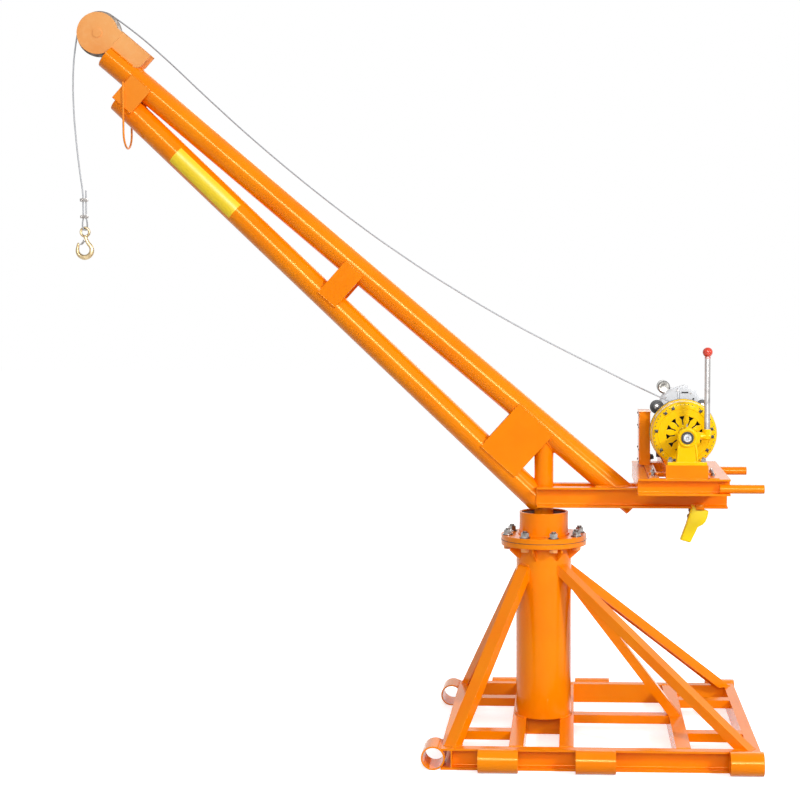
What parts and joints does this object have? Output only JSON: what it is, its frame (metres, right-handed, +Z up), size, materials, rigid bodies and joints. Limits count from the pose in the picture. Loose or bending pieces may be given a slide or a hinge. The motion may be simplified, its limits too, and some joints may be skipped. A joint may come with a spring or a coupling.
{
  "type": "portable slewing mini crane",
  "caption": "Small hand-turned crane on a channel base: bolted column, twin-tube inclined boom with a head sheave, rear platform with an electric drum winch, wire rope and a latched hook.",
  "frame": {"origin": "on the ground under the slewing axis", "axes": "+Z up along the slewing axis, +X towards the winch, the boom rises towards -X, -Y is the side with the clutch lever"},
  "size_m": [2.706, 1.2248, 2.8724],
  "materials": {
    "orange_paint": "gloss",
    "yellow_paint": "gloss",
    "black_paint": "satin",
    "motor_paint": "satin",
    "zinc_steel": "satin",
    "wire_rope": "satin",
    "zinc_gold": "satin",
    "red_plastic": "gloss",
    "yellow_plastic": "matte"
  },
  "bodies": {
    "base": {"base_left_channel": "orange_paint", "base_right_channel": "orange_paint", "base_front_channel": "orange_paint", "base_back_channel": "orange_paint", "column_beams": "orange_paint", "intermediate_beam": "orange_paint", "centre_sleeper": "orange_paint", "cross_rails": "orange_paint", "front_sockets": "orange_paint", "back_sockets": "orange_paint", "left_sockets": "orange_paint", "column_pipe": "orange_paint", "column_flange": "orange_paint", "flange_ribs": "orange_paint", "flange_bolts": "zinc_steel", "hub": "orange_paint", "slew_bearing": "black_paint", "brace_front_left": "orange_paint", "brace_back_left": "orange_paint", "brace_front_right": "orange_paint", "brace_back_right": "orange_paint", "brace_middle": "orange_paint"},
    "boom": {"mast": "orange_paint", "lower_boom_tube": "orange_paint", "upper_boom_tube": "orange_paint", "foot_plates": "orange_paint", "middle_plates": "orange_paint", "tip_plates": "orange_paint", "rope_hoop": "orange_paint", "head_plates": "orange_paint", "sheave_pin": "orange_paint", "rear_beams": "orange_paint", "platform_sides": "orange_paint", "platform_ends": "orange_paint", "slotted_rails": "orange_paint", "push_handles": "orange_paint", "winch_base": "orange_paint", "winch_pedestal": "yellow_paint", "gearbox": "motor_paint", "motor": "motor_paint", "capacitor": "motor_paint", "control_box": "orange_paint", "pendant": "yellow_plastic", "hoist_rope": "wire_rope", "rope_clips": "zinc_steel"},
    "sheave": {"sheave": "zinc_steel"},
    "drum": {"drum": "black_paint", "rope_winding": "wire_rope", "clutch_cover": "yellow_paint"},
    "lever": {"clutch_lever": "zinc_steel", "lever_knob": "red_plastic"},
    "hook": {"hook": "zinc_gold"},
    "latch": {"hook_latch": "zinc_steel"}
  },
  "joints": [
    {"name": "slew", "type": "hinge", "parent": "base", "child": "boom", "pos_m": [0, 0, 0.869], "axis": [0, 0, 1], "continuous": true},
    {"name": "sheave_spin", "type": "hinge", "parent": "boom", "child": "sheave", "pos_m": [-1.75871, 0, 2.78182], "axis": [0, 1, 0], "continuous": true},
    {"name": "drum_spin", "type": "hinge", "parent": "boom", "child": "drum", "pos_m": [0.545, 0, 1.217], "axis": [0, 1, 0], "continuous": true},
    {"name": "clutch_lever_tilt", "type": "hinge", "parent": "boom", "child": "lever", "pos_m": [0.625, -0.235, 1.217], "axis": [1, 0, 0], "range_deg": [-10, 10]},
    {"name": "hook_swing", "type": "hinge", "parent": "boom", "child": "hook", "pos_m": [-1.83, 0, 2.012], "axis": [0, 1, 0], "range_deg": [-20, 20]},
    {"name": "latch_open", "type": "hinge", "parent": "hook", "child": "latch", "pos_m": [-1.83379, 0, 1.96903], "axis": [0, -1, 0], "range_deg": [0, 45], "stiffness_Nm_per_rad": 0.02, "springref_deg": -11.46}
  ]
}
